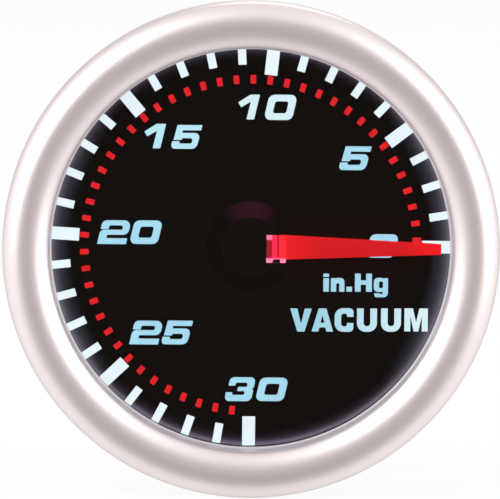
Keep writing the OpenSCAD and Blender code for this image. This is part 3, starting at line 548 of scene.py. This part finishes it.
def lowered(name, node):
    """A copy of a pointer node, turned down round the gauge's axis and widened towards the tip."""
    mesh = NODES[node].data.copy()
    mesh.name = name
    obj = bpy.data.objects.new(name, mesh)
    bpy.context.collection.objects.link(obj)
    if node != "hub_cap":
        for vert in mesh.vertices:
            share = (vert.co.x - TAPER_FROM) / (TAPER_TO - TAPER_FROM)
            vert.co.z *= 1 + TIP_WIDER * min(1, max(0, share))
    mesh.transform(Matrix.Rotation(POINTER_DROP, 4, "Y"))
    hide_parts(node)
    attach(obj, "pointer")


lowered("pointer_arm", "pointer")
lowered("foil_strip", "pointer_foil")
lowered("cap_cone", "hub_cap")


# Lit numbers and words on the dial, as outlines with rounded corners.
# Each corner is x, y and radius, in photo pixels from the glyph's own lower left.

TWO = [[(0, 0, 0), (28.9, 0, 0), (30.2, 5.9, 0), (9.2, 5.9, 0.6), (9.9, 9.3, 1.2), (31.0, 9.4, 6.5),
        (34.3, 23.9, 5.5), (5.6, 23.9, 5.5), (3.6, 15, 0), (11.4, 15, 0), (12.4, 18.8, 1.6),
        (26.3, 18.8, 1.8), (25.3, 14.4, 1.8), (3.3, 14.4, 5.5)]]
ZERO = [[(-0.8, 0, 5), (27.6, 0, 7), (33.1, 23.7, 5), (4.75, 23.7, 7)],
        [(8.1, 6.3, 1.8), (10.8, 17.5, 3), (24.2, 17.5, 1.8), (21.6, 6.3, 3)]]
FIVE = [[(-0.6, 0, 4.5), (26.0, 0, 7), (30.6, 16.0, 4.5), (11.2, 16.0, 0.4), (11.9, 18.6, 0.3),
         (31.0, 18.6, 0), (32.4, 23.9, 0), (6.4, 23.9, 0), (2.3, 8.9, 0), (10.6, 8.9, 0.8),
         (11.3, 10.7, 0.8), (22.4, 10.7, 2), (21.2, 5.3, 2.2), (8.2, 5.3, 1.2), (8.6, 7.6, 0), (0.9, 7.6, 0)]]
THREE = [[(-0.6, 0, 4.5), (26.8, 0, 6.5), (29.3, 11.4, 2.6), (27.6, 12.6, 0.5), (29.8, 13.9, 2.6),
          (32.0, 24.1, 5), (5.6, 24.1, 5.5), (3.6, 15.6, 0), (10.4, 15.6, 0), (11.6, 18.7, 1.6),
          (23.6, 18.7, 2), (22.7, 14.4, 1.6), (13.7, 14.4, 0.3), (12.6, 10.2, 0.3), (20.6, 10.2, 2),
          (19.6, 6.3, 2), (7.0, 6.3, 1.2), (7.6, 8.9, 0), (0.9, 8.9, 0)]]
ONE = [[(0, 0, 0), (7.6, 0, 0), (13.3, 24.9, 0), (3.9, 24.9, 1.5), (-8.4, 17.0, 0.3),
        (-5.5, 12.1, 0.3), (4.2, 17.8, 0)]]

# Letters, upright and heavy.
LETTER_I = [[(0, 0, 0), (5.6, 0, 0), (5.6, 13.6, 0), (0, 13.6, 0)],
            [(0, 14.9, 0), (5.6, 14.9, 0), (5.6, 18.2, 0), (0, 18.2, 0)]]
LETTER_N = [[(0, 0, 0), (5.4, 0, 0), (5.4, 8.6, 2), (8.4, 8.6, 1.2), (8.4, 0, 0), (13.6, 0, 0),
             (13.6, 13.9, 4), (5.2, 13.9, 2), (5.0, 12.4, 0.2), (5.0, 13.6, 0), (0, 13.6, 0)]]
LETTER_DOT = [[(0, 0, 0), (5.6, 0, 0), (5.6, 5.0, 0), (0, 5.0, 0)]]
LETTER_H = [[(0, 0, 0), (5.8, 0, 0), (5.8, 7.0, 0), (11.2, 7.0, 0), (11.2, 0, 0), (17.0, 0, 0),
             (17.0, 18.2, 0), (11.2, 18.2, 0), (11.2, 11.4, 0), (5.8, 11.4, 0), (5.8, 18.2, 0), (0, 18.2, 0)]]
LETTER_G = [[(0.6, -5.6, 3.0), (14.2, -5.6, 4.5), (14.2, 13.6, 0), (9.4, 13.6, 0), (9.4, 12.3, 0.2),
             (8.6, 13.9, 1.5), (0, 13.9, 5), (0, -0.3, 5), (8.4, -0.3, 1.5), (9.0, 0.9, 0.2),
             (9.0, -2.3, 1.2), (6.0, -2.3, 0.8), (6.0, -1.6, 0.2), (0.6, -1.6, 0.2)],
            [(5.2, 3.6, 1.3), (5.2, 10.2, 1.3), (9.2, 10.2, 1.3), (9.2, 3.6, 1.3)]]
LETTER_V = [[(7.2, 0, 0), (14.4, 0, 0), (21.6, 23.2, 0), (14.6, 23.2, 0), (10.9, 7.6, 0),
             (7.1, 23.2, 0), (0, 23.2, 0)]]
LETTER_A = [[(0, 0, 0), (6.8, 0, 0), (7.8, 4.1, 0), (13.8, 4.1, 0), (14.8, 0, 0), (21.6, 0, 0),
             (14.6, 23.2, 0), (7.0, 23.2, 0)],
            [(8.9, 8.9, 0), (10.8, 16.6, 0), (12.7, 8.9, 0)]]
LETTER_C = [[(0, -0.3, 8.5), (18.9, -0.3, 8.5), (18.9, 8.6, 0), (12.4, 8.6, 0), (12.4, 5.2, 2.6),
             (6.6, 5.2, 2.6), (6.6, 18.0, 2.6), (12.4, 18.0, 2.6), (12.4, 14.8, 0), (18.9, 14.8, 0),
             (18.9, 23.5, 8.5), (0, 23.5, 8.5)]]
LETTER_U = [[(0, -0.3, 8.5), (20.1, -0.3, 8.5), (20.1, 23.2, 0), (13.4, 23.2, 0), (13.4, 5.4, 3),
             (6.7, 5.4, 3), (6.7, 23.2, 0), (0, 23.2, 0)]]
LETTER_M = [[(0, 0, 0), (6.0, 0, 0), (6.0, 15.4, 0), (9.4, 0, 0), (14.1, 0, 0), (17.5, 15.4, 0),
             (17.5, 0, 0), (23.5, 0, 0), (23.5, 23.2, 0), (15.0, 23.2, 0), (11.75, 9.2, 0),
             (8.5, 23.2, 0), (0, 23.2, 0)]]


# Half of a corner's angle above which it isn't rounded, and the turn of one step round a corner.
NEARLY_STRAIGHT = 1.55
CORNER_STEP = 0.22


def rounded(loop):
    """A closed outline whose corners are rounded by their radius."""
    out = []
    n = len(loop)
    for i in range(n):
        here = Vector(loop[i][:2])
        before = Vector(loop[i - 1][:2]) - here
        after = Vector(loop[(i + 1) % n][:2]) - here
        r = loop[i][2]
        half = before.angle(after) / 2
        if r == 0 or half > NEARLY_STRAIGHT:
            out.append(here)
            continue
        cut = min(r / math.tan(half), 0.49 * before.length, 0.49 * after.length)
        r = cut * math.tan(half)
        before.normalize()
        after.normalize()
        middle = here + (before + after).normalized() * (r / math.sin(half))
        a = here + before * cut - middle
        b = here + after * cut - middle
        turn = a.angle_signed(b)
        steps = max(2, int(abs(turn) / CORNER_STEP))
        for k in range(steps + 1):
            t = -turn * k / steps
            c, d = math.cos(t), math.sin(t)
            out.append(middle + Vector((a.x * c - a.y * d, a.x * d + a.y * c)))
    return out


def on_dial(px, py):
    """A photo pixel as millimetres right and up on the dial."""
    dx = (px - DIAL_PX[0]) / PX_PER_MM
    dy = (DIAL_PX[1] - py) / PX_PER_MM
    c, d = math.cos(ROLL), math.sin(ROLL)
    return (dx * c - dy * d, dx * d + dy * c)


# How far the prints stand out from the dial, in mm.
PRINT_RISE = 0.03


def glyph_outlines(loops, corner, size):
    """Outlines of one glyph in mm, with its lower left corner on a photo pixel."""
    x0, z0 = on_dial(*corner)
    wide, high = (share / PX_PER_MM for share in size)
    return [[(x0 + p.x * wide, z0 + p.y * high) for p in rounded(loop)] for loop in loops]


def printed(name, glyphs, mat):
    """One raised print made of glyphs, on the dial's front."""
    curve = bpy.data.curves.new(name + "_outline", "CURVE")
    curve.dimensions = "2D"
    curve.fill_mode = "BOTH"
    curve.extrude = PRINT_RISE / 2 * MM
    for loops, corner, size in glyphs:
        for points in glyph_outlines(loops, corner, size):
            spline = curve.splines.new("POLY")
            spline.points.add(len(points) - 1)
            for point, (x, z) in zip(spline.points, points):
                point.co = (x * MM, z * MM, 0, 1)
            spline.use_cyclic_u = True
    raw = bpy.data.objects.new(name + "_raw", curve)
    bpy.context.collection.objects.link(raw)
    bpy.context.view_layer.update()
    solved = raw.evaluated_get(bpy.context.evaluated_depsgraph_get())
    mesh = bpy.data.meshes.new_from_object(solved)
    bpy.data.objects.remove(raw)
    mesh.name = name
    # The outline's own plane turns to face the reader, just in front of the dial.
    upright = Matrix.Rotation(math.radians(90), 4, "X")
    mesh.transform(Matrix.Translation((0, (DIAL_FRONT - PRINT_RISE / 2) * MM, 0)) @ upright)
    work = bmesh.new()
    work.from_mesh(mesh)
    bmesh.ops.remove_doubles(work, verts=work.verts, dist=1e-7)
    bmesh.ops.recalc_face_normals(work, faces=work.faces)
    work.to_mesh(mesh)
    work.free()
    obj = new_object(name, mesh, mat)
    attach(obj, "housing")


def ink(name, r, g, b):
    return lit(name, behind_lens(r, g, b), uneven=0.05, scale=260)


def fading_ink(name, left, right, start, stop):
    """Lit ink that grows paler from start to stop, in mm to the right of the dial's middle."""
    t = translucent(name)
    along = t.math("MULTIPLY_ADD", t.axis("X"), 1 / ((stop - start) * MM), -start / (stop - start))
    t.glow(t.ramp(along, [(0.0, behind_lens(*left)), (1.0, behind_lens(*right))]))
    return t.mat


# Each number: its name, its glyphs with their corners and sizes, and its display colour.
FULL = (1, 1)
NUMBERS = [
    ("0", [(ZERO, (365.8, 258.0), FULL)], (168, 219, 241)),
    ("5", [(FIVE, (338.9, 169.9), FULL)], (168, 219, 240)),
    ("10", [(ONE, (246.0, 119.0), FULL), (ZERO, (264.0, 119.5), (1.0, 1.07))], (214, 239, 246)),
    ("15", [(ONE, (151.9, 148.0), (1, 0.99)), (FIVE, (170.6, 148.4), (0.96, 1.0))], (186, 230, 244)),
    ("20", [(TWO, (96.1, 244.0), FULL), (ZERO, (129.0, 244.0), FULL)], (166, 219, 241)),
    ("25", [(TWO, (128.2, 345.0), FULL), (FIVE, (160.8, 345.0), (0.97, 1.0))], (166, 219, 240)),
    ("30", [(THREE, (224.3, 402.2), (0.97, 1.0)), (ZERO, (255.2, 402.2), FULL)], (165, 218, 239)),
]
for number, glyphs, colour in NUMBERS:
    printed("number_" + number, glyphs, ink("ink_" + number, *colour))


def in_a_row(base, *placed):
    """Letters with their left edges, on one base line."""
    return [(letter, (left, base), FULL) for letter, left in placed]


unit = in_a_row(292.2, (LETTER_I, 323.0), (LETTER_N, 330.6), (LETTER_DOT, 346.2), (LETTER_H, 354.7),
                (LETTER_G, 373.7))
word = in_a_row(332.2, (LETTER_V, 289.7), (LETTER_A, 311.3), (LETTER_C, 334.3), (LETTER_U, 356.7),
                (LETTER_U, 380.8), (LETTER_M, 404.3))
printed("legend_unit", unit, ink("ink_unit", 165, 214, 235))
word_ink = fading_ink("ink_word", left=(160, 209, 229), right=(218, 241, 247), start=8, stop=21)
printed("legend_word", word, word_ink)


# Floor, world and lamps

# The floor lies just under the gauge. Its own light makes it as white as the background,
# and the share of that light leaves room for the gauge's shadow.
FLOOR_HALF = 6
FLOOR_HEIGHT = -0.0301
FLOOR_GLOW = 1.09
FLOOR_SHARE = 0.80


def floor():
    mesh = bpy.data.meshes.new("floor")
    corners = [(x * FLOOR_HALF, y * FLOOR_HALF, 0) for x, y in ((-1, -1), (1, -1), (1, 1), (-1, 1))]
    mesh.from_pydata(corners, [], [(0, 1, 2, 3)])
    t = Tree("pale_floor")
    t.set(Roughness=0.9, Specular_IOR_Level=0.1)
    t.paint(t.ramp(t.noise(12, 3), [(0.3, (0.90, 0.90, 0.90)), (0.7, (0.93, 0.93, 0.93))]))
    glow = t.add("Emission", Color=(1, 1, 1, 1), Strength=FLOOR_GLOW)
    path = t.add("LightPath")
    seen = t.math("MAXIMUM", path.outputs["Is Camera Ray"], path.outputs["Is Transmission Ray"])
    seen = t.math("MAXIMUM", seen, path.outputs["Is Glossy Ray"])
    share = t.math("MULTIPLY", seen, FLOOR_SHARE)
    mix = t.add("MixShader")
    t.link(share, mix.inputs["Fac"])
    t.link(t.bsdf.outputs["BSDF"], mix.inputs[1])
    t.link(glow.outputs["Emission"], mix.inputs[2])
    t.link(mix.outputs["Shader"], t.out.inputs["Surface"])
    obj = new_object("floor", mesh, t.mat)
    obj.location = (0, 0, FLOOR_HEIGHT)
    obj.visible_glossy = False


# What glossy surfaces see of the studio, from straight behind the gauge (0) to the camera's side (1).
STUDIO_FRONT = (0, -0.985, -0.17)
STUDIO_TONES = (
    (0.05, (0.66, 0.65, 0.65)),
    (0.36, (1.0, 0.985, 0.98)),
    (0.75, (1.0, 0.985, 0.98)),
    (0.975, (0.45, 0.422, 0.42)),
)
# Its strength above and below the gauge, and to the left and right.
STUDIO_UPRIGHT = 0.92
STUDIO_ASIDE = 1.10
# The light on rough surfaces.
STUDIO_SOFT = ((1, 0.985, 0.98, 1), 0.5)


def world():
    data = bpy.data.worlds.new("studio")
    bpy.context.scene.world = data
    data.use_nodes = True
    nodes = data.node_tree.nodes
    links = data.node_tree.links
    nodes.clear()

    def add(kind, operation=None):
        node = nodes.new("ShaderNode" + kind)
        if operation:
            node.operation = operation
        return node

    def background(colour, strength):
        node = add("Background")
        node.inputs["Color"].default_value = colour
        node.inputs["Strength"].default_value = strength
        return node

    def either(factor, first, second):
        node = add("MixShader")
        links.new(factor, node.inputs["Fac"])
        links.new(first, node.inputs[1])
        links.new(second, node.inputs[2])
        return node.outputs["Shader"]

    coord = add("TexCoord")
    dot = add("VectorMath", "DOT_PRODUCT")
    dot.inputs[1].default_value = STUDIO_FRONT
    links.new(coord.outputs["Generated"], dot.inputs[0])
    half = add("MapRange")
    half.inputs["From Min"].default_value = -1
    links.new(dot.outputs["Value"], half.inputs["Value"])
    ramp = add("ValToRGB")
    ramp.color_ramp.interpolation = "EASE"
    marks = ramp.color_ramp.elements
    for place, _ in STUDIO_TONES[1:-1]:
        marks.new(place)
    for mark, (place, tone) in zip(marks, STUDIO_TONES):
        mark.position = place
        mark.color = (*tone, 1)
    links.new(half.outputs["Result"], ramp.inputs["Fac"])
    split = add("SeparateXYZ")
    links.new(coord.outputs["Generated"], split.inputs[0])
    aside = add("Math", "ABSOLUTE")
    links.new(split.outputs["X"], aside.inputs[0])
    level = add("MapRange")
    level.inputs["To Min"].default_value = STUDIO_UPRIGHT
    level.inputs["To Max"].default_value = STUDIO_ASIDE
    links.new(aside.outputs["Value"], level.inputs["Value"])
    mirrored = add("Background")
    links.new(ramp.outputs["Color"], mirrored.inputs["Color"])
    links.new(level.outputs["Result"], mirrored.inputs["Strength"])

    path = add("LightPath")
    direct = add("Math", "MAXIMUM")
    links.new(path.outputs["Is Camera Ray"], direct.inputs[0])
    links.new(path.outputs["Is Transmission Ray"], direct.inputs[1])
    soft = background(*STUDIO_SOFT).outputs["Background"]
    white_back = background((1, 1, 1, 1), 1.0).outputs["Background"]
    lighting = either(path.outputs["Is Glossy Ray"], soft, mirrored.outputs["Background"])
    out = add("OutputWorld")
    links.new(either(direct.outputs["Value"], lighting, white_back), out.inputs["Surface"])


def softbox(name, place, target, size, power):
    """A round lamp that faces its target. The size is in metres and the power in watts."""
    data = bpy.data.lights.new(name, "AREA")
    data.shape = "DISK"
    data.size = size
    data.energy = power
    obj = bpy.data.objects.new(name, data)
    bpy.context.collection.objects.link(obj)
    obj.location = place
    obj.rotation_mode = "QUATERNION"
    obj.rotation_quaternion = (Vector(target) - Vector(place)).to_track_quat("-Z", "Y")


floor()
world()
softbox("light_left", place=(-0.66, -0.50, 0.46), target=(0, 0, 0), size=0.9, power=4.0)
softbox("light_right", place=(0.72, -0.46, 0.28), target=(0, 0, 0), size=0.9, power=3.2)
softbox("light_back", place=(0.1, 0.8, 0.7), target=(0, 0.02, 0), size=0.5, power=0.8)
